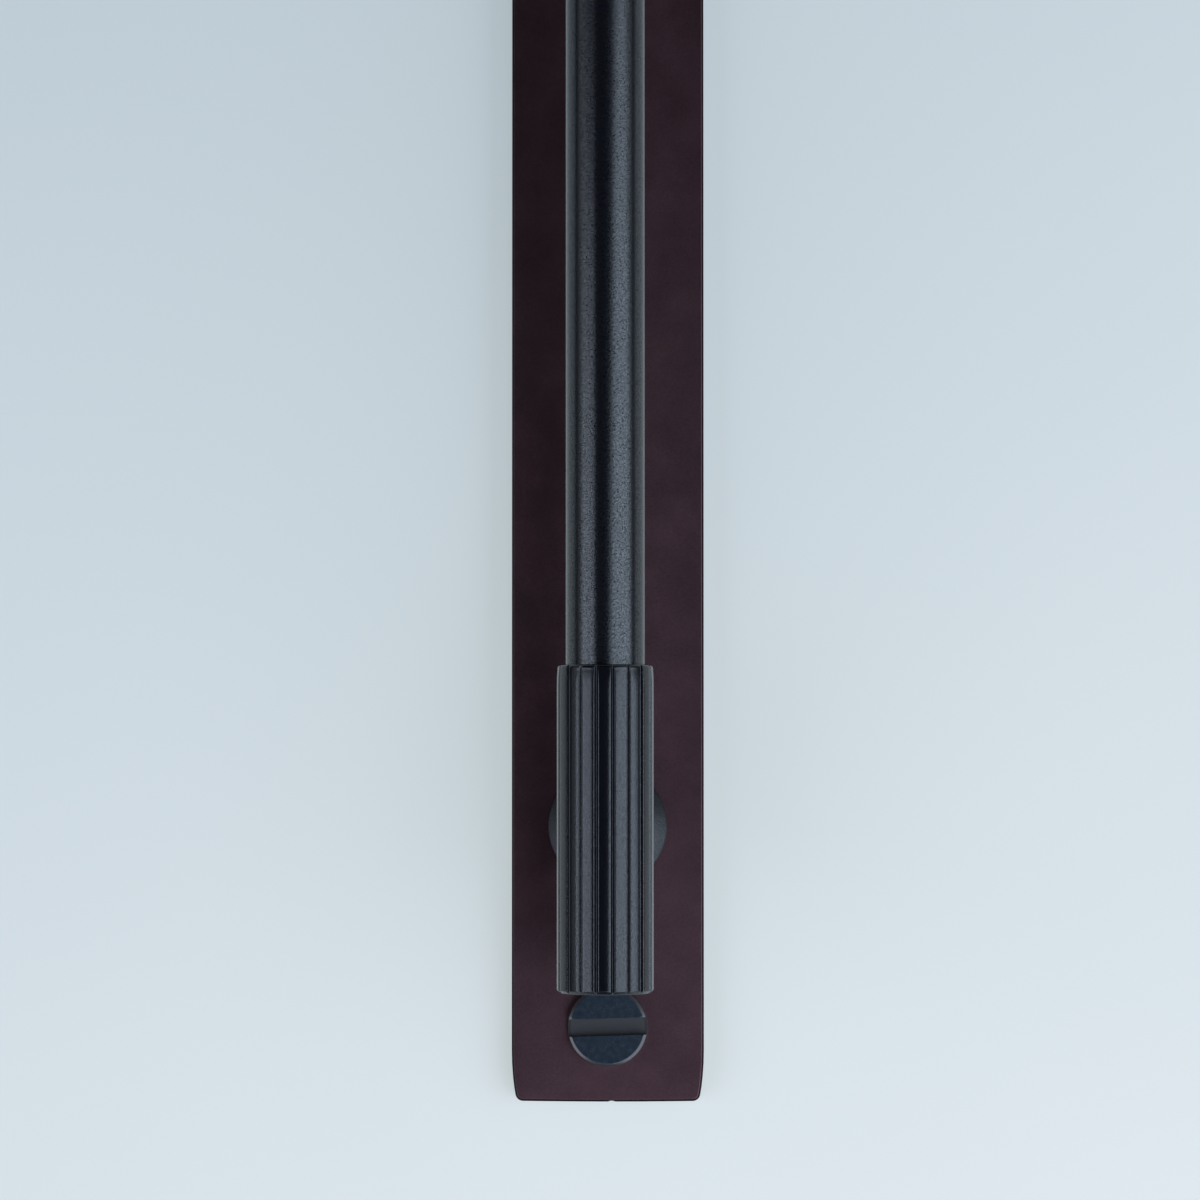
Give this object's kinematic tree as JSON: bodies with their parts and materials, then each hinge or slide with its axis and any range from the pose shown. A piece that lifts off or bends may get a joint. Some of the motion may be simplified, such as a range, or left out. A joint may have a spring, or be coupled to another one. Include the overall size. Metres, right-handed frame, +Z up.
{
  "type": "fluted cabinet pull handle with backplate",
  "caption": "Straight round pull bar with fluted grip sleeves on flared posts, on a long flat backplate with slotted screws at its ends, for opening a cabinet door or drawer.",
  "frame": {"origin": "centre of the backplate's back face, which lies on the door", "axes": "+Z up along the handle, +Y into the door, +X to the right as seen from the front"},
  "size_m": [0.03, 0.0403, 0.246],
  "materials": {
    "plate_bronze": "dark brown patina, satin",
    "bar_black": "black, fine satin",
    "sleeve_black": "black, fine satin, turned",
    "post_black": "black, fine satin",
    "screw_steel": "blue-black oxide",
    "stud_steel": "plain zinc"
  },
  "bodies": {
    "root": {"backplate": "plate_bronze", "grip_bar": "bar_black", "lower_grip_sleeve": "sleeve_black", "upper_grip_sleeve": "sleeve_black", "lower_post": "post_black", "upper_post": "post_black", "plate_screws": "screw_steel", "post_studs": "stud_steel"}
  },
  "joints": []
}
